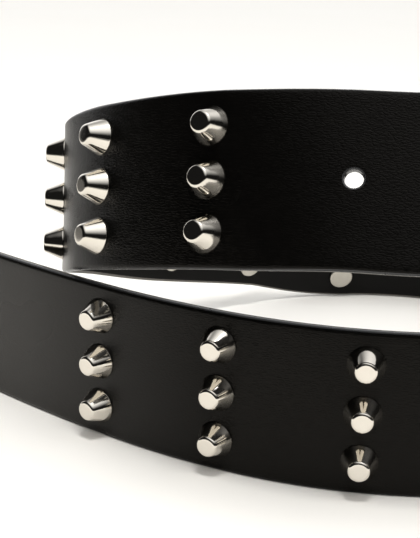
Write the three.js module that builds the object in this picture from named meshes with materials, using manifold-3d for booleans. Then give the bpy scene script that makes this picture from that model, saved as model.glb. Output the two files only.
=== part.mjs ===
// Studded belt: a leather strap standing on its edge in a rising coil, with three rows of rivet studs and a frame buckle.
// Millimetres, +Z up, +X to the right and +Y away from the front of the coil.
import * as THREE from "three";
import { mergeVertices } from "three/addons/utils/BufferGeometryUtils.js";
import Module from "manifold-3d";

// Strap
const strapWidth = 44;
const strapThickness = 3;
const edgeBevel = 0.9;
const tipRounding = 26;
const tipNoseWidth = 9;
const ringSpacing = 10;

// Belt holes, from the tip
const tipToFirstHole = 57;
const holeCount = 5;
const holePitch = 25;
const holeDiameter = 4.6;
const holeSides = 12;

// Studs, in columns across the strap
const holeToStud = 36;
const studColumns = 17;
const studRows = ["top", "middle", "bottom"];
const studPitch = 38;
const studRowSpacing = 13.2;
const studHeight = 5.8;
const studBaseDiameter = 10;
const studTopDiameter = 5.2;
const studSides = 10;
const studToBuckle = 100;

// The post that goes through the strap, and the disc that closes it behind
const postDiameter = 3;
const postClearance = 0.3;
const postHoleSides = 6;
const discDiameter = 9;
const discThickness = 0.9;
const seatGap = 0.3;

// Buckle, and the end of the strap that is folded round its bar
const buckleLength = 44;
const buckleRail = 5;
const buckleThickness = 4;
const buckleCorner = 6;
const buckleInnerCorner = 2;
const buckleClearance = 1;
const prongWidth = 4;
const prongThickness = 2.4;
const prongClearance = 1;
const prongSink = 0.4;
const barClearance = 0.4;
const eyeLength = 16;
const foldLength = 42;
const slotLength = 7;
const eyeSides = 16;
const curveSteps = 6;

const degrees = Math.PI / 180;
const firstColumnAt = tipToFirstHole + (holeCount - 1) * holePitch + holeToStud;
const seatLength = studBaseDiameter + 2 * seatGap;
const lastColumnAt = firstColumnAt + (studColumns - 1) * studPitch;
const strapLength = lastColumnAt + studToBuckle;
const buckleHeight = strapWidth + 2 * (buckleClearance + buckleRail);
const eyeRadius = Math.hypot(buckleRail, buckleThickness) / 2 + barClearance;
const buckleLift = (buckleHeight - strapWidth) / 2 / strapWidth;

// The way that the strap takes, from the tip to the buckle.
// along: share of the strap's length
// heading: direction of travel seen from above in degrees, 0 to the right and 90 away from the front
// lift: height of the lower edge over the floor, as a share of the strap's width
// lean: degrees that the outer face turns upward
const route = [
  { along: 0.0, heading: 226, lift: 1.2, lean: 20 },
  { along: 0.1, heading: 196, lift: 1.41, lean: 24 },
  { along: 0.17, heading: 171, lift: 1.41, lean: 27 },
  { along: 0.21, heading: 153, lift: 1.32, lean: 18 },
  { along: 0.26, heading: 125, lift: 1.11, lean: 11 },
  { along: 0.3, heading: 94, lift: 0.87, lean: 1 },
  { along: 0.34, heading: 61, lift: 0.63, lean: 3 },
  { along: 0.38, heading: 43, lift: 0.39, lean: 4 },
  { along: 0.43, heading: 28, lift: 0.17, lean: 11 },
  { along: 0.47, heading: 8, lift: 0, lean: 17 },
  { along: 0.53, heading: -27, lift: 0, lean: 9 },
  { along: 0.64, heading: -98, lift: 0, lean: 0 },
  { along: 0.74, heading: -159, lift: 0, lean: 0 },
  { along: 0.8, heading: -186, lift: 0, lean: 0 },
  { along: 0.85, heading: -207, lift: 0, lean: 0 },
  { along: 0.89, heading: -217, lift: 0, lean: 0 },
  { along: 0.94, heading: -223, lift: 0, lean: 0 },
  { along: 0.985, heading: -232, lift: buckleLift, lean: 0 },
  { along: 1.0, heading: -234, lift: buckleLift, lean: 0 },
];

const wasm = await Module();
wasm.setup();

const leather = new THREE.MeshStandardMaterial({ color: 0x141413, roughness: 0.5, metalness: 0 });
const nickel = new THREE.MeshStandardMaterial({ color: 0xd9d6cf, roughness: 0.18, metalness: 1 });

function toSolid(geometry) {
  const bare = geometry.clone();
  bare.deleteAttribute("normal");
  bare.deleteAttribute("uv");
  const merged = mergeVertices(bare);
  const vertProperties = new Float32Array(merged.attributes.position.array);
  const triVerts = new Uint32Array(merged.index.array);
  return new wasm.Manifold(new wasm.Mesh({ numProp: 3, vertProperties, triVerts }));
}

function toGeometry(solid) {
  const mesh = solid.getMesh();
  const geometry = new THREE.BufferGeometry();
  geometry.setAttribute("position", new THREE.BufferAttribute(mesh.vertProperties, 3));
  geometry.setIndex(new THREE.BufferAttribute(mesh.triVerts, 1));
  geometry.computeVertexNormals();
  return geometry;
}

// A smooth curve through one column of the route that never overshoots its rows.
function smoothColumn(name) {
  const xs = route.map((row) => row.along * strapLength);
  const ys = route.map((row) => row[name]);
  const last = xs.length - 1;
  const widths = xs.slice(1).map((x, i) => x - xs[i]);
  const rises = widths.map((width, i) => (ys[i + 1] - ys[i]) / width);
  const slopes = xs.map((x, i) => {
    if (i === 0) return rises[0];
    if (i === last) return rises[last - 1];
    if (rises[i - 1] * rises[i] <= 0) return 0;
    const before = 2 * widths[i] + widths[i - 1];
    const after = widths[i] + 2 * widths[i - 1];
    return (before + after) / (before / rises[i - 1] + after / rises[i]);
  });
  return (at) => {
    let i = xs.findIndex((x) => x > at) - 1;
    if (i < 0) i = last - 1;
    const width = widths[i];
    const t = (at - xs[i]) / width;
    const value =
      (1 + 2 * t) * (1 - t) ** 2 * ys[i] +
      t * (1 - t) ** 2 * width * slopes[i] +
      t * t * (3 - 2 * t) * ys[i + 1] +
      t * t * (t - 1) * width * slopes[i + 1];
    const slope =
      ((6 * t * t - 6 * t) / width) * (ys[i] - ys[i + 1]) +
      (3 * t * t - 4 * t + 1) * slopes[i] +
      (3 * t * t - 2 * t) * slopes[i + 1];
    return { value, slope };
  };
}

// Walks the middle line of the strap in even steps and gives, at each, its point and its three directions.
function walkRoute() {
  const heading = smoothColumn("heading");
  const lift = smoothColumn("lift");
  const lean = smoothColumn("lean");
  const steps = Math.round(strapLength);
  const step = strapLength / steps;

  const heightAt = (at) => {
    const tilt = lean(at).value * degrees;
    const edge = lift(at);
    const climb = strapWidth * edge.slope;
    const halfWidth = (strapWidth / 2) * Math.cos(tilt) * Math.sqrt(Math.max(0, 1 - climb * climb));
    return strapWidth * edge.value + halfWidth + (strapThickness / 2) * Math.abs(Math.sin(tilt));
  };
  const directionsAt = (at) => {
    const before = Math.max(0, at - step);
    const after = Math.min(strapLength, at + step);
    const climb = (heightAt(after) - heightAt(before)) / (after - before);
    const flat = Math.sqrt(Math.max(0, 1 - climb * climb));
    const turn = heading(at).value * degrees;
    const tilt = lean(at).value * degrees;
    const along = new THREE.Vector3(flat * Math.cos(turn), flat * Math.sin(turn), climb);
    const side = new THREE.Vector3(-Math.sin(turn), Math.cos(turn), 0);
    const up = along.clone().cross(side);
    const across = up.clone().multiplyScalar(Math.cos(tilt)).addScaledVector(side, -Math.sin(tilt));
    const outward = side.clone().multiplyScalar(Math.cos(tilt)).addScaledVector(up, Math.sin(tilt));
    return { along, across, outward };
  };

  const points = [];
  const place = new THREE.Vector2();
  let previous;
  for (let i = 0; i <= steps; i += 1) {
    const at = i * step;
    const directions = directionsAt(at);
    if (previous) {
      place.x += (step * (previous.along.x + directions.along.x)) / 2;
      place.y += (step * (previous.along.y + directions.along.y)) / 2;
    }
    points.push(new THREE.Vector3(place.x, place.y, heightAt(at)));
    previous = directions;
  }
  return (at) => {
    const i = Math.min(steps - 1, Math.floor(at / step));
    const point = points[i].clone().lerp(points[i + 1], at / step - i);
    return { point, ...directionsAt(at) };
  };
}

const stationAt = walkRoute();

function ribbonPoint(at, acrossBy) {
  const { point, across } = stationAt(at);
  return point.addScaledVector(across, acrossBy);
}

// A frame set square on the flat facet round a stud: X along the strap, Y out of its outer face, Z across its width.
function seatAt(at, acrossBy, outwardBy = 0) {
  const { across } = stationAt(at);
  const before = ribbonPoint(at - seatLength / 2, acrossBy);
  const after = ribbonPoint(at + seatLength / 2, acrossBy);
  const middle = before.clone().lerp(after, 1 / 2);
  const outward = across.clone().cross(after.sub(before)).normalize();
  const along = outward.clone().cross(across);
  return new THREE.Matrix4().makeBasis(along, outward, across).setPosition(middle.addScaledVector(outward, outwardBy));
}

function endFrame() {
  const { point, along, outward, across } = stationAt(strapLength);
  return new THREE.Matrix4().makeBasis(along, outward, across).setPosition(point);
}

// The strap is twice as thick where its end is folded back and glued to itself.
function innerFaceAt(at) {
  const folded = at > strapLength - foldLength;
  return -strapThickness / 2 - (folded ? strapThickness : 0);
}

function halfWidthAt(at) {
  const short = Math.max(0, 1 - at / tipRounding);
  const nose = tipNoseWidth / 2;
  return nose + (strapWidth / 2 - nose) * Math.sqrt(1 - short * short);
}

// The strap is flat under each column of studs and bends between them.
function ringStations() {
  const stations = [];
  for (let i = 0; i < curveSteps; i += 1) {
    stations.push(tipRounding * (1 - Math.cos((i / curveSteps) * 90 * degrees)));
  }
  const addStretch = (from, to) => {
    const count = Math.ceil((to - from) / ringSpacing);
    for (let i = 0; i < count; i += 1) stations.push(from + ((to - from) * i) / count);
  };
  let from = tipRounding;
  for (let column = 0; column < studColumns; column += 1) {
    const seatStart = columnAt(column) - seatLength / 2;
    addStretch(from, seatStart);
    stations.push(seatStart);
    from = seatStart + seatLength;
  }
  const foldStart = strapLength - foldLength;
  addStretch(from, foldStart);
  stations.push(foldStart);
  addStretch(foldStart + strapThickness / 4, strapLength);
  stations.push(strapLength);
  return stations;
}

function ribbonSolid() {
  const stations = ringStations();
  const positions = [];
  for (const at of stations) {
    const { point, across, outward } = stationAt(at);
    const half = halfWidthAt(at);
    const outer = strapThickness / 2;
    const inner = innerFaceAt(at);
    const rib = Math.min(studRowSpacing / 2, half / 3);
    const section = [
      [half - edgeBevel, outer],
      [half, outer - edgeBevel],
      [half, inner + edgeBevel],
      [half - edgeBevel, inner],
      [rib, inner],
      [-rib, inner],
      [edgeBevel - half, inner],
      [-half, inner + edgeBevel],
      [-half, outer - edgeBevel],
      [edgeBevel - half, outer],
      [-rib, outer],
      [rib, outer],
    ];
    for (const [w, n] of section) {
      const corner = point.clone().addScaledVector(across, w).addScaledVector(outward, n);
      positions.push(corner.x, corner.y, corner.z);
    }
  }
  const sides = 12;
  const index = [];
  for (let ring = 0; ring < stations.length - 1; ring += 1) {
    for (let side = 0; side < sides; side += 1) {
      const a = ring * sides + side;
      const b = ring * sides + ((side + 1) % sides);
      index.push(a, b, a + sides, b, b + sides, a + sides);
    }
  }
  const end = (stations.length - 1) * sides;
  for (let side = 1; side < sides - 1; side += 1) {
    index.push(0, side + 1, side);
    index.push(end, end + side, end + side + 1);
  }
  const geometry = new THREE.BufferGeometry();
  geometry.setAttribute("position", new THREE.Float32BufferAttribute(positions, 3));
  geometry.setIndex(index);
  return toSolid(geometry);
}

// A round cutter straight through the strap, measured across its flats.
function drill(at, acrossBy, diameter, sides) {
  const radius = diameter / 2 / Math.cos(Math.PI / sides);
  const cutter = new THREE.CylinderGeometry(radius, radius, 6 * strapThickness, sides);
  cutter.applyMatrix4(seatAt(at, acrossBy));
  return toSolid(cutter);
}

// The loop of the strap round the buckle's bar, drawn in the plane along and out of the strap.
function eyeSolid() {
  const outerRadius = eyeRadius + strapThickness;
  const centre = { x: eyeLength, y: strapThickness / 2 - outerRadius };
  const overlap = strapThickness / 4;
  const innerFace = (-3 * strapThickness) / 2;
  const shape = new THREE.Shape();
  shape.moveTo(-overlap, strapThickness / 2);
  shape.lineTo(centre.x, strapThickness / 2);
  shape.absarc(centre.x, centre.y, outerRadius, 90 * degrees, -110 * degrees, true);
  shape.lineTo(strapThickness, innerFace);
  shape.lineTo(-overlap, innerFace);
  shape.closePath();
  const loop = new THREE.ExtrudeGeometry(shape, { depth: strapWidth, bevelEnabled: false, curveSegments: curveSteps });
  loop.translate(0, 0, -strapWidth / 2);
  const bore = new THREE.CylinderGeometry(eyeRadius, eyeRadius, 2 * strapWidth, eyeSides);
  bore.rotateX(90 * degrees).translate(centre.x, centre.y, 0);
  const slotReach = slotLength + outerRadius;
  const slot = new THREE.BoxGeometry(slotReach, 4 * outerRadius, prongWidth + 2 * prongClearance);
  slot.translate(centre.x - slotLength + slotReach / 2 + strapThickness / 4, centre.y, 0);
  const toEnd = endFrame();
  const [eye, ...cuts] = [loop, bore, slot].map((geometry) => toSolid(geometry.applyMatrix4(toEnd)));
  return cuts.reduce((solid, cut) => solid.subtract(cut), eye);
}

function columnAt(column) {
  return firstColumnAt + column * studPitch;
}

function rowOffset(row) {
  return ((studRows.length - 1) / 2 - row) * studRowSpacing;
}

function makeStrap() {
  let strap = ribbonSolid().add(eyeSolid());
  const cutters = [];
  for (let hole = 0; hole < holeCount; hole += 1) {
    cutters.push(drill(tipToFirstHole + hole * holePitch, 0, holeDiameter, holeSides));
  }
  for (let column = 0; column < studColumns; column += 1) {
    for (let row = 0; row < studRows.length; row += 1) {
      const bore = postDiameter + 2 * postClearance;
      cutters.push(drill(columnAt(column), rowOffset(row), bore, postHoleSides));
    }
  }
  for (const cutter of cutters) strap = strap.subtract(cutter);
  const mesh = new THREE.Mesh(toGeometry(strap), leather);
  mesh.name = "strap";
  return mesh;
}

// One stud turned about its own axis: head, post and back disc. Height 0 is the strap's outer face.
function studGeometry() {
  const discFront = -strapThickness - seatGap;
  const discBack = discFront - discThickness;
  const profile = [
    [0, discBack],
    [discDiameter / 2, discBack],
    [discDiameter / 2, discFront],
    [postDiameter / 2, discFront],
    [postDiameter / 2, seatGap],
    [studBaseDiameter / 2, seatGap],
    [studTopDiameter / 2, studHeight],
    [0, studHeight],
  ];
  return new THREE.LatheGeometry(profile.map(([r, y]) => new THREE.Vector2(r, y)), studSides);
}

function makeStud(column, row) {
  const mesh = new THREE.Mesh(studGeometry(), nickel);
  mesh.name = `stud_${String(column + 1).padStart(2, "0")}_${studRows[row]}`;
  const seat = seatAt(columnAt(column), rowOffset(row), strapThickness / 2);
  seat.decompose(mesh.position, mesh.quaternion, mesh.scale);
  return mesh;
}

function roundedPlate(left, right, half, corner, depth) {
  const path = new THREE.Shape();
  path.moveTo(left + corner, -half);
  path.lineTo(right - corner, -half);
  path.absarc(right - corner, corner - half, corner, -90 * degrees, 0, false);
  path.lineTo(right, half - corner);
  path.absarc(right - corner, half - corner, corner, 0, 90 * degrees, false);
  path.lineTo(left + corner, half);
  path.absarc(left + corner, half - corner, corner, 90 * degrees, 180 * degrees, false);
  path.lineTo(left, corner - half);
  path.absarc(left + corner, corner - half, corner, 180 * degrees, 270 * degrees, false);
  const plate = new THREE.ExtrudeGeometry(path, { depth, bevelEnabled: false, curveSegments: curveSteps });
  return toSolid(plate.translate(0, 0, -depth / 2));
}

// The buckle is drawn flat with its bar along Y, then stood up so that the bar lies in the strap's eye.
function makeBuckle() {
  const left = -buckleRail / 2;
  const right = left + buckleLength;
  const half = buckleHeight / 2;
  const plate = roundedPlate(left, right, half, buckleCorner, buckleThickness);
  const innerLeft = left + buckleRail;
  const innerRight = right - buckleRail;
  const innerHalf = half - buckleRail;
  const opening = roundedPlate(innerLeft, innerRight, innerHalf, buckleInnerCorner, 2 * buckleThickness);
  const prong = new THREE.BoxGeometry(buckleLength - buckleRail / 2, prongWidth, prongThickness);
  const prongMiddle = left + buckleRail / 4 + (buckleLength - buckleRail / 2) / 2;
  prong.translate(prongMiddle, 0, buckleThickness / 2 - prongSink + prongThickness / 2);
  const solid = plate.subtract(opening).add(toSolid(prong));
  const mesh = new THREE.Mesh(toGeometry(solid), nickel);
  mesh.name = "buckle";
  const barOutward = strapThickness / 2 - (eyeRadius + strapThickness);
  const seat = endFrame();
  seat.multiply(new THREE.Matrix4().makeTranslation(eyeLength, barOutward, 0));
  seat.multiply(new THREE.Matrix4().makeRotationX(-90 * degrees));
  seat.decompose(mesh.position, mesh.quaternion, mesh.scale);
  return mesh;
}

const belt = new THREE.Group();
belt.add(makeStrap());
belt.add(makeBuckle());
for (let column = 0; column < studColumns; column += 1) {
  for (let row = 0; row < studRows.length; row += 1) belt.add(makeStud(column, row));
}

// The belt stands on the floor with the middle of its outline over the origin.
const box = new THREE.Box3().setFromObject(belt, true);
belt.position.set(-(box.min.x + box.max.x) / 2, -(box.min.y + box.max.y) / 2, -box.min.z);

const model = new THREE.Group();
model.add(belt);
export default model;
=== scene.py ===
# Studded belt: a leather strap standing on its edge in a rising coil, dressed for the photograph's view.
import math
import bpy
from mathutils import Matrix, Vector


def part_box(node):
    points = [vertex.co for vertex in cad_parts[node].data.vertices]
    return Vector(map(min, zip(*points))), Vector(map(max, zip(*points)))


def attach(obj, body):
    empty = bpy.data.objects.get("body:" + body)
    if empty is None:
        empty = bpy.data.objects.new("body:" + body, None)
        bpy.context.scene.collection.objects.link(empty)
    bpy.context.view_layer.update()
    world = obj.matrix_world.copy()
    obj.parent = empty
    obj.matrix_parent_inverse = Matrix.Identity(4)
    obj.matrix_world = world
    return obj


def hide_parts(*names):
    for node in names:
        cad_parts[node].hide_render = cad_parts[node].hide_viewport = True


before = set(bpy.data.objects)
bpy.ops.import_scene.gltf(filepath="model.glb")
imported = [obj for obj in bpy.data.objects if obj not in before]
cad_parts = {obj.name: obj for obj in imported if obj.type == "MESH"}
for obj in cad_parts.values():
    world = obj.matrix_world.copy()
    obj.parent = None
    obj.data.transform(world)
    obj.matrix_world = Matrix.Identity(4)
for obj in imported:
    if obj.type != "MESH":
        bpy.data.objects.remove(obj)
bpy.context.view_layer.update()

# Strap, in metres
strap_width = 0.044
strap_thickness = 0.003
tip_rounding = 0.026
tip_nose_width = 0.009

# The strap's edge, with the groove between its two plies
outer_rounding = 0.0012
outer_steps = 6
inner_rounding = 0.001
inner_steps = 5
groove_width = 0.00036
groove_depth = 0.00034
groove_shoulder = 0.00008

# Belt holes and studs along the strap
tip_to_first_hole = 0.057
hole_count = 5
hole_pitch = 0.025
hole_diameter = 0.0046
hole_outer_lip = 0.00045
hole_inner_lip = 0.00025
hole_to_stud = 0.036
stud_columns = 17
stud_rows = ["top", "middle", "bottom"]
stud_pitch = 0.038
stud_row_spacing = 0.0132
stud_height = 0.0058
stud_base_radius = 0.005
stud_top_radius = 0.0026
stud_to_buckle = 0.1
post_radius = 0.0015
disc_radius = 0.0045
disc_thickness = 0.0009
seat_gap = 0.0003

# Seen studs: their gap to the leather, their rounded edges, and the low dome of the disc's back
seen_gap = 0.00005
tip_edge_rounding = 0.0007
tip_flat_radius = 0.001
foot_height = 0.0003
foot_rounding = 0.00025
foot_undercut = 0.00008
disc_bevel = 0.0003

# Points of the dome: how far in from the disc's rim, and how far from its back
disc_dome = [(0.00012, 0.00022), (0.0005, 0.00008), (0.0013, 0.00002)]

# Buckle and the fold of the strap round its bar
buckle_length = 0.044
buckle_rail = 0.005
buckle_thickness = 0.004
buckle_corner = 0.006
buckle_clearance = 0.001
rail_rounding = 0.0013
prong_width = 0.004
prong_thickness = 0.0024
prong_rounding = 0.0008
prong_flatness = 0.75
prong_sink = 0.0004
prong_dip = 0.0004
prong_tip_gap = 0.0012
prong_wrap_gap = 0.0009
bar_clearance = 0.0004
eye_length = 0.016
fold_length = 0.042
slot_length = 0.007
slot_past_bar = 0.005
fold_start_pull = 0.005
fold_end_pull = 0.006

# How finely the route and the meshes are cut, with a square patch of cells round each belt hole
route_step = 0.001
tip_steps = 26
hole_step = 0.002
strap_step = 0.0018
fold_step = 0.001
side_steps = 9
patch_half = 0.006
patch_cells = 8
slot_cells = 4
outer_lip_steps = 5
inner_lip_steps = 3
eye_steps = 16
turn_steps = 32
stud_segments = 48

first_column_at = tip_to_first_hole + (hole_count - 1) * hole_pitch + hole_to_stud
strap_length = first_column_at + (stud_columns - 1) * stud_pitch + stud_to_buckle
seat_length = 2 * stud_base_radius + 2 * seat_gap
buckle_height = strap_width + 2 * (buckle_clearance + buckle_rail)
buckle_lift = (buckle_height - strap_width) / 2 / strap_width
eye_radius = math.hypot(buckle_rail, buckle_thickness) / 2 + bar_clearance

# The way that the strap takes: share of its length, heading in degrees, lift of its lower edge in strap
# widths, lean of its outer face in degrees
route = [
    (0.0, 226, 1.2, 20),
    (0.1, 196, 1.41, 24),
    (0.17, 171, 1.41, 27),
    (0.21, 153, 1.32, 18),
    (0.26, 125, 1.11, 11),
    (0.3, 94, 0.87, 1),
    (0.34, 61, 0.63, 3),
    (0.38, 43, 0.39, 4),
    (0.43, 28, 0.17, 11),
    (0.47, 8, 0, 17),
    (0.53, -27, 0, 9),
    (0.64, -98, 0, 0),
    (0.74, -159, 0, 0),
    (0.8, -186, 0, 0),
    (0.85, -207, 0, 0),
    (0.89, -217, 0, 0),
    (0.94, -223, 0, 0),
    (0.985, -232, buckle_lift, 0),
    (1.0, -234, buckle_lift, 0),
]


# The strap's route, as smooth curves through the rows above
def smooth_column(column):
    marks = [row[0] * strap_length for row in route]
    values = [row[column] for row in route]
    last = len(marks) - 1
    widths = [marks[i + 1] - marks[i] for i in range(last)]
    rises = [(values[i + 1] - values[i]) / widths[i] for i in range(last)]
    slopes = [rises[0]]
    for i in range(1, last):
        if rises[i - 1] * rises[i] <= 0:
            slopes.append(0.0)
            continue
        before = 2 * widths[i] + widths[i - 1]
        after = widths[i] + 2 * widths[i - 1]
        slopes.append((before + after) / (before / rises[i - 1] + after / rises[i]))
    slopes.append(rises[-1])

    def curve(at):
        i = 0
        while i < last - 1 and marks[i + 1] <= at:
            i += 1
        width = widths[i]
        t = (at - marks[i]) / width
        value = (
            (1 + 2 * t) * (1 - t) ** 2 * values[i]
            + t * (1 - t) ** 2 * width * slopes[i]
            + t * t * (3 - 2 * t) * values[i + 1]
            + t * t * (t - 1) * width * slopes[i + 1]
        )
        slope = (
            (6 * t * t - 6 * t) / width * (values[i] - values[i + 1])
            + (3 * t * t - 4 * t + 1) * slopes[i]
            + (3 * t * t - 2 * t) * slopes[i + 1]
        )
        return value, slope

    return curve


def walk_route():
    heading = smooth_column(1)
    lift = smooth_column(2)
    lean = smooth_column(3)
    steps = round(strap_length / route_step)
    step = strap_length / steps

    def height_at(at):
        tilt = math.radians(lean(at)[0])
        edge, rise = lift(at)
        climb = strap_width * rise
        half = strap_width / 2 * math.cos(tilt) * math.sqrt(max(0, 1 - climb * climb))
        return strap_width * edge + half + strap_thickness / 2 * abs(math.sin(tilt))

    def directions_at(at):
        before = max(0, at - step)
        after = min(strap_length, at + step)
        climb = (height_at(after) - height_at(before)) / (after - before)
        flat = math.sqrt(max(0, 1 - climb * climb))
        turn = math.radians(heading(at)[0])
        tilt = math.radians(lean(at)[0])
        along = Vector((flat * math.cos(turn), flat * math.sin(turn), climb))
        side = Vector((-math.sin(turn), math.cos(turn), 0))
        up = along.cross(side)
        across = up * math.cos(tilt) - side * math.sin(tilt)
        outward = side * math.cos(tilt) + up * math.sin(tilt)
        return along, across, outward

    points = []
    x = y = 0.0
    previous = None
    for i in range(steps + 1):
        along = directions_at(i * step)[0]
        if previous is not None:
            x += step * (previous.x + along.x) / 2
            y += step * (previous.y + along.y) / 2
        points.append(Vector((x, y, height_at(i * step))))
        previous = along

    def station_at(at):
        i = max(0, min(steps - 1, int(at / step)))
        point = points[i].lerp(points[i + 1], at / step - i)
        return (point, *directions_at(at))

    return station_at


station_at = walk_route()


def ribbon_point(at, across_by):
    point, _, across, _ = station_at(at)
    return point + across * across_by


def seat_at(at, across_by, outward_by):
    across = station_at(at)[2]
    before = ribbon_point(at - seat_length / 2, across_by)
    after = ribbon_point(at + seat_length / 2, across_by)
    outward = across.cross(after - before).normalized()
    along = outward.cross(across)
    place = before.lerp(after, 0.5) + outward * outward_by
    return Matrix(
        (
            (along.x, outward.x, across.x, place.x),
            (along.y, outward.y, across.y, place.y),
            (along.z, outward.z, across.z, place.z),
            (0, 0, 0, 1),
        )
    )


def column_at(column):
    return first_column_at + column * stud_pitch


def row_offset(row):
    return ((len(stud_rows) - 1) / 2 - row) * stud_row_spacing


# Mesh and object helpers
def make_mesh(name, points, faces, kinds, materials):
    mesh = bpy.data.meshes.new(name)
    mesh.from_pydata([tuple(p) for p in points], [], faces)
    for material in materials:
        mesh.materials.append(material)
    mesh.polygons.foreach_set("material_index", kinds)
    mesh.polygons.foreach_set("use_smooth", [True] * len(faces))
    mesh.update()
    return mesh


def add_object(name, mesh, nodes):
    piece = bpy.data.objects.new(name, mesh)
    bpy.context.scene.collection.objects.link(piece)
    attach(piece, "root")
    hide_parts(*nodes)
    return piece


# Materials
def new_material(name):
    material = bpy.data.materials.new(name)
    material.use_nodes = True
    tree = material.node_tree
    shader = tree.nodes["Principled BSDF"]
    return material, tree, shader


def add_node(tree, kind, **settings):
    node = tree.nodes.new(kind)
    for name, value in settings.items():
        setattr(node, name, value)
    return node


def noise(tree, place, scale, detail=3.0, roughness=0.5):
    node = add_node(tree, "ShaderNodeTexNoise")
    node.inputs["Scale"].default_value = scale
    node.inputs["Detail"].default_value = detail
    node.inputs["Roughness"].default_value = roughness
    tree.links.new(place, node.inputs["Vector"])
    return node.outputs["Fac"]


def remap(tree, value, low, high, to_low, to_high):
    node = add_node(tree, "ShaderNodeMapRange")
    node.inputs["From Min"].default_value = low
    node.inputs["From Max"].default_value = high
    node.inputs["To Min"].default_value = to_low
    node.inputs["To Max"].default_value = to_high
    tree.links.new(value, node.inputs["Value"])
    return node.outputs["Result"]


def multiply(tree, first, second):
    node = add_node(tree, "ShaderNodeMath", operation="MULTIPLY")
    tree.links.new(first, node.inputs[0])
    tree.links.new(second, node.inputs[1])
    return node.outputs["Value"]


def add_values(tree, first, second):
    node = add_node(tree, "ShaderNodeMath", operation="ADD")
    tree.links.new(first, node.inputs[0])
    tree.links.new(second, node.inputs[1])
    return node.outputs["Value"]


def blend_colors(tree, share, first, second):
    node = add_node(tree, "ShaderNodeMix", data_type="RGBA")
    node.inputs[6].default_value = (*first, 1)
    node.inputs[7].default_value = (*second, 1)
    tree.links.new(share, node.inputs[0])
    return node.outputs[2]


def bump(tree, height, distance, strength, before=None):
    node = add_node(tree, "ShaderNodeBump")
    node.inputs["Distance"].default_value = distance
    node.inputs["Strength"].default_value = strength
    tree.links.new(height, node.inputs["Height"])
    if before is not None:
        tree.links.new(before, node.inputs["Normal"])
    return node.outputs["Normal"]


def stretched(tree, place, scale):
    node = add_node(tree, "ShaderNodeVectorMath", operation="MULTIPLY")
    tree.links.new(place, node.inputs[0])
    node.inputs[1].default_value = scale
    return node.outputs["Vector"]


def object_place(tree):
    return add_node(tree, "ShaderNodeTexCoord").outputs["Object"]


polish_from = 0.765
polish_to = 0.83


# The leather gets glossier from polish_from to polish_to, measured along the strap from its tip
def make_leather():
    material, tree, shader = new_material("outer_leather")
    place = object_place(tree)
    flat = add_node(tree, "ShaderNodeTexCoord").outputs["UV"]
    wrinkled = stretched(tree, flat, (620, 1700, 1))
    pebbles = add_node(tree, "ShaderNodeTexVoronoi", feature="DISTANCE_TO_EDGE")
    pebbles.inputs["Scale"].default_value = 1.0
    tree.links.new(wrinkled, pebbles.inputs["Vector"])
    grain = remap(tree, pebbles.outputs["Distance"], 0.0, 0.22, 0.0, 1.0)
    cloud = noise(tree, place, 60, 4)
    fine = noise(tree, place, 4200, 2)
    worn = noise(tree, place, 14, 3)
    colour = blend_colors(tree, cloud, (0.001, 0.0009, 0.0008), (0.0024, 0.0022, 0.0019))
    tree.links.new(colour, shader.inputs["Base Color"])
    gloss = remap(tree, worn, 0.3, 0.7, 0.26, 0.34)
    tree.links.new(gloss, shader.inputs["Roughness"])
    coarse = bump(tree, grain, 0.00006, 0.6)
    normal = bump(tree, fine, 0.00002, 0.4, before=coarse)
    tree.links.new(normal, shader.inputs["Normal"])
    shader.inputs["IOR"].default_value = 1.22
    shader.inputs["Specular Tint"].default_value = (1.0, 0.95, 0.88, 1)
    facing = add_node(tree, "ShaderNodeLayerWeight")
    facing.inputs["Blend"].default_value = 0.5
    satin = remap(tree, facing.outputs["Facing"], 0.45, 0.9, 0.0, 0.22)
    split = add_node(tree, "ShaderNodeSeparateXYZ")
    tree.links.new(flat, split.inputs[0])
    polish = remap(tree, split.outputs["X"], polish_from, polish_to, 0.0, 0.5)
    tree.links.new(add_values(tree, satin, polish), shader.inputs["Coat Weight"])
    shader.inputs["Coat Tint"].default_value = (1.0, 0.95, 0.88, 1)
    shader.inputs["Coat Roughness"].default_value = 0.34
    return material


def make_lining():
    material, tree, shader = new_material("inner_leather")
    place = object_place(tree)
    fibre = noise(tree, place, 2600, 4, 0.7)
    cloud = noise(tree, place, 45, 3)
    colour = blend_colors(tree, cloud, (0.0035, 0.0034, 0.0031), (0.007, 0.0067, 0.0061))
    tree.links.new(colour, shader.inputs["Base Color"])
    gloss = remap(tree, cloud, 0.3, 0.7, 0.66, 0.8)
    tree.links.new(gloss, shader.inputs["Roughness"])
    normal = bump(tree, fibre, 0.00008, 0.4)
    tree.links.new(normal, shader.inputs["Normal"])
    shader.inputs["Specular IOR Level"].default_value = 0.14
    return material


def make_edge_paint():
    material, tree, shader = new_material("edge_paint")
    place = object_place(tree)
    cloud = noise(tree, place, 160, 3)
    ripple = noise(tree, place, 900, 2)
    colour = blend_colors(tree, cloud, (0.012, 0.0122, 0.013), (0.022, 0.0222, 0.0232))
    tree.links.new(colour, shader.inputs["Base Color"])
    gloss = remap(tree, cloud, 0.3, 0.7, 0.24, 0.36)
    tree.links.new(gloss, shader.inputs["Roughness"])
    normal = bump(tree, ripple, 0.00006, 0.35)
    tree.links.new(normal, shader.inputs["Normal"])
    return material


def make_ply_edge():
    material, tree, shader = new_material("ply_edge")
    place = object_place(tree)
    fibre = noise(tree, place, 1500, 4, 0.7)
    colour = blend_colors(tree, fibre, (0.09, 0.083, 0.072), (0.16, 0.148, 0.13))
    tree.links.new(colour, shader.inputs["Base Color"])
    gloss = remap(tree, fibre, 0.3, 0.7, 0.5, 0.66)
    tree.links.new(gloss, shader.inputs["Roughness"])
    normal = bump(tree, fibre, 0.00006, 0.4)
    tree.links.new(normal, shader.inputs["Normal"])
    return material


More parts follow.
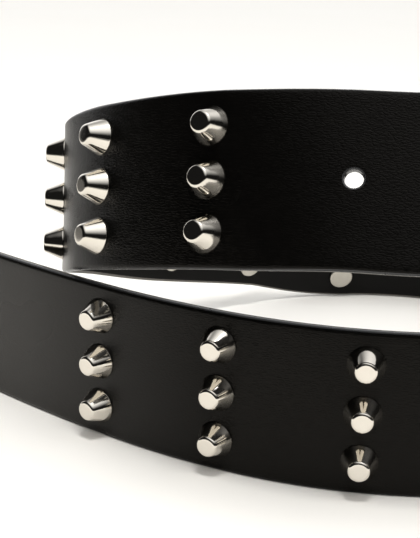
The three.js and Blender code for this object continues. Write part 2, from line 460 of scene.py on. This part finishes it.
def make_nickel(name, smooth, rough, dark, light):
    material, tree, shader = new_material(name)
    place = object_place(tree)
    cloud = noise(tree, place, 320, 3)
    scratch = noise(tree, place, 2600, 5, 0.65)
    colour = blend_colors(tree, cloud, dark, light)
    tree.links.new(colour, shader.inputs["Base Color"])
    shader.inputs["Metallic"].default_value = 1.0
    gloss = remap(tree, scratch, 0.3, 0.7, smooth, rough)
    tree.links.new(gloss, shader.inputs["Roughness"])
    normal = bump(tree, scratch, 0.000012, 0.4)
    tree.links.new(normal, shader.inputs["Normal"])
    return material


leather = make_leather()
lining = make_lining()
edge_paint = make_edge_paint()
ply_edge = make_ply_edge()
nickel = make_nickel("stud_nickel", 0.05, 0.1, (0.67, 0.63, 0.56), (0.73, 0.69, 0.62))
# The back discs get a rougher copy of the nickel whose darker colour is painted shade, for the shade inside
# the coil
disc_nickel_painted_shade = make_nickel("disc_nickel_painted_shade", 0.3, 0.42, (0.5, 0.475, 0.42), (0.6, 0.575, 0.52))
buckle_nickel = make_nickel("buckle_nickel", 0.1, 0.2, (0.7, 0.665, 0.6), (0.76, 0.725, 0.66))


# The fold round the buckle's bar, drawn along and out of the strap's end: straight to the bar, round it, and
# back under the strap in a soft curve, with the pulls of that curve as lengths
def fold_path():
    radius = eye_radius + strap_thickness / 2
    centre = Vector((eye_length, -radius))
    points = [Vector((eye_length * i / eye_steps, 0)) for i in range(eye_steps)]
    first_turn = math.radians(90)
    last_turn = math.radians(-110)
    for i in range(turn_steps + 1):
        turn = first_turn + (last_turn - first_turn) * i / turn_steps
        points.append(centre + Vector((math.cos(turn), math.sin(turn))) * radius)
    start = points[-1]
    start_pull = start + Vector((math.sin(last_turn), -math.cos(last_turn))) * fold_start_pull
    end = Vector((0, -strap_thickness))
    end_pull = end + Vector((fold_end_pull, 0))
    for i in range(1, eye_steps + 1):
        t = i / eye_steps
        points.append(
            start * (1 - t) ** 3
            + start_pull * 3 * t * (1 - t) ** 2
            + end_pull * 3 * t * t * (1 - t)
            + end * t ** 3
        )
    return points


fold_points = fold_path()
fold_marks = [0.0]
for before, after in zip(fold_points, fold_points[1:]):
    fold_marks.append(fold_marks[-1] + (after - before).length)
loop_length = fold_marks[-1]
ribbon_length = strap_length + loop_length + fold_length


def ribbon_frame(at):
    if at <= strap_length:
        return station_at(at)
    point, along, across, outward = station_at(strap_length)
    if at < strap_length + loop_length:
        far = at - strap_length
        i = 0
        while fold_marks[i + 1] < far:
            i += 1
        t = (far - fold_marks[i]) / (fold_marks[i + 1] - fold_marks[i])
        flat = fold_points[i].lerp(fold_points[i + 1], t)
        early = fold_points[max(0, i - 1)]
        late = fold_points[min(len(fold_points) - 1, i + 2)]
        course = (late - early).normalized()
        place = point + along * flat.x + outward * flat.y
        return (
            place,
            along * course.x + outward * course.y,
            across,
            outward * course.x - along * course.y,
        )
    point, along, across, outward = station_at(2 * strap_length + loop_length - at)
    return point - outward * strap_thickness, -along, across, -outward


def ribbon_place(at, sideways, rise):
    point, _, across, outward = ribbon_frame(min(max(at, 0.0), ribbon_length))
    return point + across * sideways + outward * rise


def half_width_at(at):
    short = max(0.0, 1 - at / tip_rounding)
    nose = tip_nose_width / 2
    return nose + (strap_width / 2 - nose) * math.sqrt(1 - short * short)


def tip_normal(at):
    short = max(0.0, 1 - at / tip_rounding)
    if short >= 1:
        return -1.0, 0.0
    reach = (strap_width / 2 - tip_nose_width / 2) / tip_rounding
    slope = reach * short / math.sqrt(1 - short * short)
    size = math.hypot(slope, 1)
    return -slope / size, 1 / size


# The edge from the outer face to the inner face: how far in from the outline, and how far out of the middle
def edge_profile():
    half = strap_thickness / 2
    points = []
    for i in range(outer_steps + 1):
        turn = math.radians(90 - 90 * i / outer_steps)
        inset = outer_rounding * (1 - math.cos(turn))
        points.append((inset, half - outer_rounding * (1 - math.sin(turn))))
    groove_middle = -groove_width / 2
    points.append((0.0, 0.0))
    points.append((groove_shoulder, groove_middle + groove_shoulder))
    points.append((groove_depth, groove_middle))
    points.append((groove_shoulder, groove_middle - groove_shoulder))
    points.append((0.0, -groove_width))
    for i in range(inner_steps + 1):
        turn = math.radians(-90 * i / inner_steps)
        inset = inner_rounding * (1 - math.cos(turn))
        points.append((inset, inner_rounding * (1 + math.sin(turn)) - half))
    return points


# Places of the strap's materials in its mesh
leather_slot = 0
lining_slot = 1
paint_slot = 2
ply_slot = 3


# The edge is leather next to the face, then painted as far as the groove's bottom, and pale on the inner ply
def edge_kind(step):
    if step < outer_steps // 2:
        return leather_slot
    return paint_slot if step < outer_steps + 3 else ply_slot


# Evenly spaced stations from one place up to the next, without the last
def stretch(from_at, to_at, step):
    count = max(1, math.ceil((to_at - from_at) / step - 1e-6))
    return [from_at + (to_at - from_at) * i / count for i in range(count)]


hole_marks = [tip_to_first_hole + i * hole_pitch for i in range(hole_count)]
slot_start = strap_length + eye_length - slot_length
slot_end = strap_length + fold_marks[eye_steps + turn_steps] + slot_past_bar


def ribbon_stations():
    turns = [math.radians(90 * i / tip_steps) for i in range(tip_steps)]
    stations = [tip_rounding * (1 - math.cos(turn)) for turn in turns]
    at = tip_rounding
    for mark in hole_marks:
        stations += stretch(at, mark - patch_half, hole_step)
        stations += stretch(mark - patch_half, mark + patch_half, 2 * patch_half / patch_cells)
        at = mark + patch_half
    fold_end = strap_length + loop_length
    last_step_at = ribbon_length - strap_step
    stations += stretch(at, strap_length, strap_step)
    stations += stretch(strap_length, slot_start, fold_step)
    stations += stretch(slot_start, slot_end, fold_step)
    stations += stretch(slot_end, fold_end, fold_step)
    stations += stretch(fold_end, last_step_at, strap_step)
    stations.append(last_step_at)
    stations.append(ribbon_length)
    return stations


def nearest_ring(stations, at):
    return min(range(len(stations)), key=lambda ring: abs(stations[ring] - at))


# Places across the face from -1 to 1, with the cells of the hole patches in the middle
def face_shares():
    face_half = strap_width / 2 - outer_rounding
    patch_share = patch_half / face_half
    side_share = (1 - patch_share) / side_steps
    shares = [-1 + i * side_share for i in range(side_steps)]
    for i in range(patch_cells + 1):
        shares.append((-patch_half + 2 * patch_half * i / patch_cells) / face_half)
    shares += [patch_share + i * side_share for i in range(1, side_steps + 1)]
    return shares


# The square round a hole, corner by corner, as places along and across from the hole's middle
def patch_offsets():
    size = patch_half
    step = 2 * size / patch_cells
    offsets = [(-size + step * i, size) for i in range(patch_cells)]
    offsets += [(size, size - step * i) for i in range(patch_cells)]
    offsets += [(size - step * i, -size) for i in range(patch_cells)]
    offsets += [(-size, -size + step * i) for i in range(patch_cells)]
    return offsets


# The rings of a hole from the outer face to the inner face: share of the way from the lip to the patch's
# border or none, radius or none, how far out of the middle, and material
def hole_rings_from_front():
    radius = hole_diameter / 2
    half = strap_thickness / 2
    rings = [(0.62, None, half, leather_slot), (0.28, None, half, leather_slot)]
    for i in range(outer_lip_steps + 1):
        turn = math.radians(90 * i / outer_lip_steps)
        size = radius + hole_outer_lip * (1 - math.sin(turn))
        kind = leather_slot if i == 0 else paint_slot
        rings.append((None, size, half - hole_outer_lip * (1 - math.cos(turn)), kind))
    rings.append((None, radius, 0.0, paint_slot))
    for i in range(inner_lip_steps + 1):
        turn = math.radians(90 * i / inner_lip_steps)
        size = radius + hole_inner_lip * (1 - math.cos(turn))
        kind = paint_slot if i < inner_lip_steps else lining_slot
        rings.append((None, size, hole_inner_lip * (1 - math.sin(turn)) - half, kind))
    for share in (0.3, 0.62, 1.0):
        rings.append((share, None, -half, lining_slot))
    return rings


# The strap as one closed ribbon: faces, edges, a cap at each end, the prong's slot and the belt holes
def make_strap():
    profile = edge_profile()
    stations = ribbon_stations()
    shares = face_shares()
    columns = len(shares)
    points = []
    flats = []
    faces = []
    kinds = []

    def add_point(at, sideways, rise):
        points.append(ribbon_place(at, sideways, rise))
        flats.append((at, sideways))
        return len(points) - 1

    def add_face(corners, kind):
        faces.append(corners)
        kinds.append(kind)

    def outline_point(ring, inset):
        at = stations[ring]
        if ring == len(stations) - 1:
            return at - inset, strap_width / 2 - inset
        back, side = tip_normal(at)
        return at - back * inset, half_width_at(at) - side * inset

    tops = []
    bottoms = []
    lefts = []
    rights = []
    for ring in range(len(stations)):
        at, reach = outline_point(ring, profile[0][0])
        tops.append([add_point(at, share * reach, profile[0][1]) for share in shares])
        at, reach = outline_point(ring, profile[-1][0])
        bottoms.append([add_point(at, share * reach, profile[-1][1]) for share in shares])
        left = [tops[-1][0]]
        right = [tops[-1][-1]]
        for inset, rise in profile[1:-1]:
            at, reach = outline_point(ring, inset)
            left.append(add_point(at, -reach, rise))
            right.append(add_point(at, reach, rise))
        left.append(bottoms[-1][0])
        right.append(bottoms[-1][-1])
        lefts.append(left)
        rights.append(right)

    first_hole_column = side_steps
    hole_rings = [nearest_ring(stations, mark - patch_half) for mark in hole_marks]
    slot_rings = [nearest_ring(stations, mark) for mark in (slot_start, slot_end)]
    slot_columns = [first_hole_column + (patch_cells + side * slot_cells) // 2 for side in (-1, 1)]

    def in_patch(ring, column):
        if not first_hole_column <= column < first_hole_column + patch_cells:
            return False
        return any(start <= ring < start + patch_cells for start in hole_rings)

    def in_slot(ring, column):
        return slot_rings[0] <= ring < slot_rings[1] and slot_columns[0] <= column < slot_columns[1]

    for ring in range(len(stations) - 1):
        for column in range(columns - 1):
            if in_patch(ring, column) or in_slot(ring, column):
                continue
            a, b = tops[ring][column], tops[ring][column + 1]
            c, d = tops[ring + 1][column + 1], tops[ring + 1][column]
            add_face((a, b, c, d), leather_slot)
            a, b = bottoms[ring][column], bottoms[ring][column + 1]
            c, d = bottoms[ring + 1][column + 1], bottoms[ring + 1][column]
            add_face((a, d, c, b), lining_slot)
        near, far = lefts[ring], lefts[ring + 1]
        for k in range(len(profile) - 1):
            add_face((near[k], far[k], far[k + 1], near[k + 1]), edge_kind(k))
        near, far = rights[ring], rights[ring + 1]
        for k in range(len(profile) - 1):
            add_face((near[k], near[k + 1], far[k + 1], far[k]), edge_kind(k))

    def cap(ring, turned):
        previous = tops[ring]
        for k in range(1, len(profile)):
            if k == len(profile) - 1:
                row = bottoms[ring]
            else:
                inset, rise = profile[k]
                at, reach = outline_point(ring, inset)
                row = [lefts[ring][k]]
                row += [add_point(at, share * reach, rise) for share in shares[1:-1]]
                row.append(rights[ring][k])
            for column in range(columns - 1):
                corners = (previous[column], row[column], row[column + 1], previous[column + 1])
                add_face(corners if turned else corners[::-1], edge_kind(k - 1))
            previous = row

    cap(0, False)
    cap(len(stations) - 1, True)

    def add_wall(top, top_after, bottom_after, bottom):
        add_face((top, top_after, bottom_after, bottom), paint_slot)

    def add_slot_walls():
        first, last = slot_rings
        low, high = slot_columns
        for ring in range(first, last):
            after = ring + 1
            add_wall(tops[ring][low], tops[after][low], bottoms[after][low], bottoms[ring][low])
            add_wall(tops[after][high], tops[ring][high], bottoms[ring][high], bottoms[after][high])
        for column in range(low, high):
            after = column + 1
            add_wall(tops[first][after], tops[first][column], bottoms[first][column], bottoms[first][after])
            add_wall(tops[last][column], tops[last][after], bottoms[last][after], bottoms[last][column])

    add_slot_walls()

    def patch_boundary(rows, start):
        low = first_hole_column
        high = low + patch_cells
        end = start + patch_cells
        loop = [rows[ring][high] for ring in range(start, end)]
        loop += [rows[end][column] for column in range(high, low, -1)]
        loop += [rows[ring][low] for ring in range(end, start, -1)]
        loop += [rows[start][column] for column in range(low, high)]
        return loop

    def add_hole(mark, first_ring):
        previous = patch_boundary(tops, first_ring)
        lip_radius = hole_diameter / 2 + hole_outer_lip
        for share, size, rise, kind in hole_rings_from_front():
            if share == 1.0:
                row = patch_boundary(bottoms, first_ring)
            else:
                row = []
                for offset in patch_offsets():
                    border = Vector(offset)
                    way = border.normalized()
                    place = way * size if share is None else (way * lip_radius).lerp(border, share)
                    row.append(add_point(mark + place.x, place.y, rise))
            for i in range(len(row)):
                j = (i + 1) % len(row)
                add_face((previous[j], row[j], row[i], previous[i]), kind)
            previous = row

    for mark, first_ring in zip(hole_marks, hole_rings):
        add_hole(mark, first_ring)

    mesh = make_mesh("strap_ribbon", points, faces, kinds, [leather, lining, edge_paint, ply_edge])
    spread = mesh.uv_layers.new(name="along_and_across")
    for loop in mesh.loops:
        spread.data[loop.index].uv = flats[loop.vertex_index]
    return mesh


# Studs
def turned_mesh(name, profile, materials):
    points = []
    rows = []
    faces = []
    for radius, height in profile:
        if radius == 0:
            points.append((0, height, 0))
            rows.append([len(points) - 1] * stud_segments)
            continue
        row = []
        for i in range(stud_segments):
            turn = 2 * math.pi * i / stud_segments
            points.append((radius * math.cos(turn), height, radius * math.sin(turn)))
            row.append(len(points) - 1)
        rows.append(row)
    for upper, lower in zip(rows, rows[1:]):
        for i in range(stud_segments):
            j = (i + 1) % stud_segments
            corners = [upper[i], upper[j], lower[j], lower[i]]
            faces.append(tuple(dict.fromkeys(corners)))
    return make_mesh(name, points, faces, [0] * len(faces), materials)


def rounded_corner(corner, before, after, size, steps):
    start = corner + (before - corner).normalized() * size
    end = corner + (after - corner).normalized() * size
    points = []
    for i in range(steps + 1):
        t = i / steps
        points.append(start * (1 - t) ** 2 + corner * 2 * t * (1 - t) + end * t * t)
    return [(p.x, p.y) for p in points]


# The head's outline from its flat tip down, then the post, the disc's front, its rim and its low-domed back
def stud_mesh():
    back = -strap_thickness - seen_gap
    disc_back = -strap_thickness - seat_gap - disc_thickness
    top = Vector((stud_top_radius, stud_height))
    foot = Vector((stud_base_radius, seen_gap + foot_height))
    outline = [(0, stud_height), (tip_flat_radius, stud_height)]
    outline += rounded_corner(top, Vector((0, stud_height)), foot, tip_edge_rounding, 8)
    outline += [(p.x, p.y) for p in (top.lerp(foot, 0.3), top.lerp(foot, 0.6))]
    outline += rounded_corner(foot, top, Vector((stud_base_radius, -1)), foot_rounding, 4)
    outline += [(stud_base_radius - foot_undercut, seen_gap), (post_radius, seen_gap)]
    outline += [(post_radius, back), (disc_radius - disc_bevel, back)]
    outline += [(disc_radius - disc_bevel / 3, back - disc_bevel / 3), (disc_radius, (back + disc_back) / 2)]
    outline += [(disc_radius - inset, disc_back + rise) for inset, rise in disc_dome]
    outline.append((0, disc_back))
    mesh = turned_mesh("stud_turned", outline, [nickel, disc_nickel_painted_shade])
    # Faces behind the leather take the disc nickel, darkened with painted shade
    for face in mesh.polygons:
        if face.center.y < back + seen_gap / 5:
            face.material_index = 1
    return mesh


stud_shape = stud_mesh()
studs = []
for column in range(stud_columns):
    for row, row_name in enumerate(stud_rows):
        name = f"stud_{column + 1:02d}_{row_name}"
        studs.append((name, seat_at(column_at(column), row_offset(row), strap_thickness / 2)))


# Where the route starts in the shared frame, from the middles of the studs' own boxes
def route_start():
    total = Vector((0, 0, 0))
    corners = [v.co.copy() for v in stud_shape.vertices]
    for name, seat in studs:
        placed = [seat @ corner for corner in corners]
        low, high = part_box(name)
        for axis in range(3):
            values = [p[axis] for p in placed]
            total[axis] += (low[axis] + high[axis] - min(values) - max(values)) / 2
    return total / len(studs)


route_origin = route_start()
to_frame = Matrix.Translation(Vector((route_origin.x, route_origin.y, 0)))
for name, seat in studs:
    piece = add_object(name.replace("stud", "rivet"), stud_shape, [name])
    piece.matrix_world = to_frame @ seat

strap_mesh = make_strap()
strap_mesh.transform(to_frame)
add_object("strap_leather", strap_mesh, ["strap"])


# Buckle: a flat frame with rounded rails, and a prong whose root goes round the bar
def swept_ring(path, section, closed):
    # The section lies across and up from each place of the path
    points = []
    faces = []
    count = len(section)
    for place, across, up in path:
        for a, b in section:
            points.append(place + across * a + up * b)
    rings = len(path)
    for ring in range(rings if closed else rings - 1):
        after = (ring + 1) % rings
        for i in range(count):
            j = (i + 1) % count
            faces.append((ring * count + i, ring * count + j, after * count + j, after * count + i))
    if not closed:
        faces.append(tuple(range(count))[::-1])
        faces.append(tuple(range((rings - 1) * count, rings * count)))
    return points, faces


def rounded_section(width, height, corner, steps):
    section = []
    for number, (x, y) in enumerate(((1, 1), (-1, 1), (-1, -1), (1, -1))):
        for i in range(steps + 1):
            turn = math.radians(90 * number + 90 * i / steps)
            section.append(
                (
                    x * (width / 2 - corner) + corner * math.cos(turn),
                    y * (height / 2 - corner) + corner * math.sin(turn),
                )
            )
    return section


# The middle of the frame's rails, corner by corner, with the bar's middle at the origin
def frame_path():
    length = buckle_length - buckle_rail
    half = buckle_height / 2 - buckle_rail / 2
    corner = buckle_corner - buckle_rail / 2
    corner_steps = 8
    up = Vector((0, 0, 1))
    centres = [
        (length - corner, half - corner),
        (corner, half - corner),
        (corner, corner - half),
        (length - corner, corner - half),
    ]
    path = []
    for number, (x, y) in enumerate(centres):
        for i in range(corner_steps + 1):
            turn = math.radians(90 * number + 90 * i / corner_steps)
            outward = Vector((math.cos(turn), math.sin(turn), 0))
            path.append((Vector((x, y, 0)) + outward * corner, outward, up))
    return path


# The prong's middle: round the bar, out to its resting height, and along to the far rail with a slight dip
def prong_path():
    rest = buckle_thickness / 2 - prong_sink + prong_thickness / 2
    reach = buckle_length - buckle_rail - prong_tip_gap
    bar_size = buckle_thickness / 2 + prong_wrap_gap
    wrap_steps = 24
    straight_steps = 20
    wrap_from = -200
    wrap_to = 90
    rise_from = 30
    across = Vector((0, 1, 0))
    path = []
    for i in range(wrap_steps + 1):
        degrees = wrap_from + (wrap_to - wrap_from) * i / wrap_steps
        turn = math.radians(degrees)
        out = Vector((math.cos(turn), 0, math.sin(turn)))
        rising = max(0.0, (degrees - rise_from) / (wrap_to - rise_from))
        path.append((out * (bar_size + (rest - bar_size) * rising ** 2), across, out))
    for i in range(1, straight_steps + 1):
        t = i / straight_steps
        dip = prong_dip * math.sin(math.pi * t)
        path.append((Vector((reach * t, 0, rest - dip)), across, Vector((0, 0, 1))))
    return path


def buckle_mesh():
    rail_section = rounded_section(buckle_rail, buckle_thickness, rail_rounding, 5)
    prong_section = rounded_section(prong_width, prong_thickness * prong_flatness, prong_rounding, 4)
    points, faces = swept_ring(frame_path(), rail_section, True)
    prong_points, prong_faces = swept_ring(prong_path(), prong_section, False)
    shift = len(points)
    points += prong_points
    faces += [tuple(i + shift for i in face) for face in prong_faces]
    return make_mesh("buckle_shape", points, faces, [0] * len(faces), [buckle_nickel])


def buckle_place():
    point, along, across, outward = station_at(strap_length)
    bar = point + along * eye_length + outward * (strap_thickness / 2 - eye_radius - strap_thickness)
    down = -across
    return Matrix(
        (
            (along.x, down.x, outward.x, bar.x),
            (along.y, down.y, outward.y, bar.y),
            (along.z, down.z, outward.z, bar.z),
            (0, 0, 0, 1),
        )
    )


buckle_piece = add_object("buckle_frame", buckle_mesh(), ["buckle"])
buckle_piece.matrix_world = to_frame @ buckle_place()


# Floor
def pale_material(name):
    material, tree, shader = new_material(name)
    place = object_place(tree)
    cloud = noise(tree, place, 3, 2)
    pale = blend_colors(tree, cloud, (0.905, 0.885, 0.84), (0.92, 0.9, 0.86))
    tree.links.new(pale, shader.inputs["Base Color"])
    shader.inputs["Roughness"].default_value = 0.7
    shader.inputs["Specular IOR Level"].default_value = 0.2
    return material, tree, shader, place, pale


def add_stage_plane(name, corners, height, material):
    points = [(x, y, height) for x, y in corners]
    mesh = make_mesh(f"{name}_plane", points, [tuple(range(len(points)))], [0], [material])
    plane = bpy.data.objects.new(name, mesh)
    bpy.context.scene.collection.objects.link(plane)
    return plane


floor_reach = 12
card_left = -0.4
card_front = -0.35
card_height = 0.0005
card_fade_left = 0.45
card_fade_front = 0.4


def make_floor():
    size = floor_reach
    corners = [(-size, -size), (size, -size), (size, size), (-size, size)]
    add_stage_plane("floor", corners, 0, pale_material("pale_floor")[0])


# A grey card on the floor, out of the photo's view, that only gloss shows. The studs' tips in the photo
# mirror something darker to the left and in front. Next to the belt the card is as pale as the floor.
# Its darkening away from the belt is painted shade, a dim floor that only the metal's reflections show
def make_painted_shade_card():
    material, tree, shader, place, pale = pale_material("painted_shade_card")
    across = add_node(tree, "ShaderNodeSeparateXYZ")
    tree.links.new(place, across.inputs[0])
    left = remap(tree, across.outputs["X"], card_left - card_fade_left, card_left, 0.0, 1.0)
    front = remap(tree, across.outputs["Y"], card_front - card_fade_front, card_front, 0.0, 1.0)
    # Painted shade: dark grey out to the left and in front, as pale as the floor near the belt
    painted_shade_fade = add_node(tree, "ShaderNodeMix", data_type="RGBA")
    painted_shade_fade.inputs[6].default_value = (0.14, 0.136, 0.13, 1)
    tree.links.new(multiply(tree, left, front), painted_shade_fade.inputs[0])
    tree.links.new(pale, painted_shade_fade.inputs[7])
    tree.links.new(painted_shade_fade.outputs[2], shader.inputs["Base Color"])
    size = floor_reach
    corners = [(-size, -size), (size, -size), (size, card_front), (card_left, card_front)]
    corners += [(card_left, size), (-size, size)]
    card = add_stage_plane("card", corners, card_height, material)
    card.visible_camera = False
    card.visible_diffuse = False
    card.visible_shadow = False


make_floor()
make_painted_shade_card()


# Light: a white backdrop behind, a soft light overhead with a brighter core, and nearly dark elsewhere
backdrop_aim = (0.2, 0.98, 0.0)
overhead_aim = (0.25, -0.15, 0.95)
core_aim = (0.3, -0.05, 0.95)
dark_level = 0.012


def toward(tree, direction, aim):
    node = add_node(tree, "ShaderNodeVectorMath", operation="DOT_PRODUCT")
    tree.links.new(direction, node.inputs[0])
    node.inputs[1].default_value = Vector(aim).normalized()
    return node.outputs["Value"]


def make_world():
    world = bpy.data.worlds.new("studio")
    bpy.context.scene.world = world
    world.use_nodes = True
    tree = world.node_tree
    sky = tree.nodes["Background"]
    direction = add_node(tree, "ShaderNodeTexCoord").outputs["Generated"]
    split = add_node(tree, "ShaderNodeSeparateXYZ")
    tree.links.new(direction, split.inputs[0])
    behind = remap(tree, toward(tree, direction, backdrop_aim), 0.25, 0.55, 0.0, 1.0)
    low = remap(tree, split.outputs["Z"], 0.4, 0.95, 1.4, 0.0)
    backdrop = multiply(tree, behind, low)
    above = remap(tree, toward(tree, direction, overhead_aim), 0.55, 1.0, 0.0, 1.0)
    glow = add_node(tree, "ShaderNodeMath", operation="POWER")
    tree.links.new(above, glow.inputs[0])
    glow.inputs[1].default_value = 1.5
    bright = remap(tree, glow.outputs["Value"], 0.0, 1.0, dark_level, 1.7 + dark_level)
    core = remap(tree, toward(tree, direction, core_aim), 0.975, 0.99, 0.0, 3.0)
    total = add_values(tree, backdrop, add_values(tree, bright, core))
    tree.links.new(total, sky.inputs["Strength"])
    sky.inputs["Color"].default_value = (0.985, 0.99, 1.0, 1)


make_world()


# Soft lamps that light the floor and aren't mirrored in the metal
def place_lamp(name, data, place, aim):
    data.color = (1.0, 0.985, 0.96)
    lamp = bpy.data.objects.new(name, data)
    bpy.context.scene.collection.objects.link(lamp)
    turned = (Vector(place) - Vector(aim)).to_track_quat("Z", "Y")
    lamp.matrix_world = Matrix.Translation(place) @ turned.to_matrix().to_4x4()
    lamp.visible_glossy = False


def make_area_lamp(name, place, aim, size, energy):
    data = bpy.data.lights.new(name, "AREA")
    data.size = size
    data.energy = energy
    place_lamp(name, data, place, aim)


def make_even_light():
    data = bpy.data.lights.new("even_light", "SUN")
    data.energy = 0.6
    data.angle = math.radians(120)
    place_lamp("even_light", data, (0, 0, 2), (0, 0, 0))


make_area_lamp("top_lamp", place=(0.0, -0.33, 1.2), aim=(0, -0.1, 0), size=0.22, energy=6.8)
make_area_lamp("front_lamp", place=(-0.6, -0.95, 0.7), aim=(-0.05, -0.2, 0), size=0.9, energy=2.2)
make_even_light()


# Camera: its angles in degrees, and its place from the start of the strap's route, as fitted to the photo
camera_yaw = 0.317
camera_pitch = 16.344
camera_roll = -1.887
camera_from_route = (-0.17641, -0.31142)
camera_height = 0.1363
camera_lens = 76.35


def make_camera():
    yaw = math.radians(camera_yaw)
    pitch = math.radians(camera_pitch)
    roll = math.radians(camera_roll)
    flat = math.cos(pitch)
    forward = Vector((math.sin(yaw) * flat, math.cos(yaw) * flat, -math.sin(pitch)))
    level = Vector((math.cos(yaw), -math.sin(yaw), 0))
    upright = level.cross(forward)
    right = level * math.cos(roll) - upright * math.sin(roll)
    up = level * math.sin(roll) + upright * math.cos(roll)
    data = bpy.data.cameras.new("camera")
    data.sensor_width = 36
    data.lens = camera_lens
    data.clip_start = 0.01
    data.clip_end = 60
    camera = bpy.data.objects.new("camera", data)
    bpy.context.scene.collection.objects.link(camera)
    turned = Matrix((right, up, -forward)).transposed().to_4x4()
    right_of_route, ahead_of_route = camera_from_route
    x = route_origin.x + right_of_route
    y = route_origin.y + ahead_of_route
    camera.matrix_world = Matrix.Translation((x, y, camera_height)) @ turned
    bpy.context.scene.camera = camera


make_camera()
bpy.context.scene.view_settings.view_transform = "Standard"
